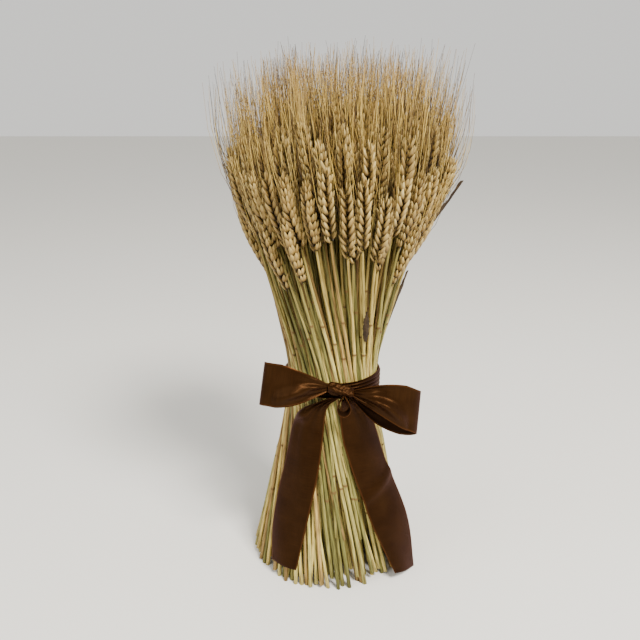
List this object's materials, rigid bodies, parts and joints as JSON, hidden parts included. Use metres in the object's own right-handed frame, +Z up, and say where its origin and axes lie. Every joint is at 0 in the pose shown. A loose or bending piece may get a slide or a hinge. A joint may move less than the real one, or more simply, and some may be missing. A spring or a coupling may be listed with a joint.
{
  "type": "bundle of dried wheat",
  "caption": "Free-standing sheaf of dried bearded wheat, spread at feet and heads, twisted at its waist and tied there with a dark brown satin ribbon bow.",
  "frame": {"origin": "centre of the bounding box at ground level, on the plane of the cut straw ends", "axes": "+Z up along the sheaf, -Y towards the bow and the viewer, +X to the viewer's right"},
  "size_m": [0.1994, 0.1963, 0.4599],
  "materials": {
    "wheat": "dry matt straw, pale green-gold below and golden in the heads, with fine bristly awns",
    "ribbon": "dark brown satin with a soft sheen",
    "dry_leaf": "papery dry leaf, matt, twisted and crinkled"
  },
  "bodies": {
    "root": {"wheat_bunch_01": "wheat", "wheat_bunch_02": "wheat", "wheat_bunch_03": "wheat", "wheat_bunch_04": "wheat", "wheat_bunch_05": "wheat", "wheat_bunch_06": "wheat", "wheat_bunch_07": "wheat", "wheat_bunch_08": "wheat", "wheat_bunch_09": "wheat", "wheat_bunch_10": "wheat", "wheat_bunch_11": "wheat", "wheat_bunch_12": "wheat", "wheat_bunch_13": "wheat", "wheat_bunch_14": "wheat", "wheat_bunch_15": "wheat", "wheat_bunch_16": "wheat", "wheat_bunch_17": "wheat", "wheat_bunch_18": "wheat", "wheat_heart": "wheat", "ribbon_band": "ribbon", "ribbon_knot": "ribbon", "ribbon_loop_left": "ribbon", "ribbon_loop_right": "ribbon", "ribbon_small_loop": "ribbon", "ribbon_tail_left": "ribbon", "ribbon_tail_right": "ribbon", "dry_leaf_right": "dry_leaf", "dry_leaf_side": "dry_leaf", "dry_leaf_front": "dry_leaf"}
  },
  "joints": []
}
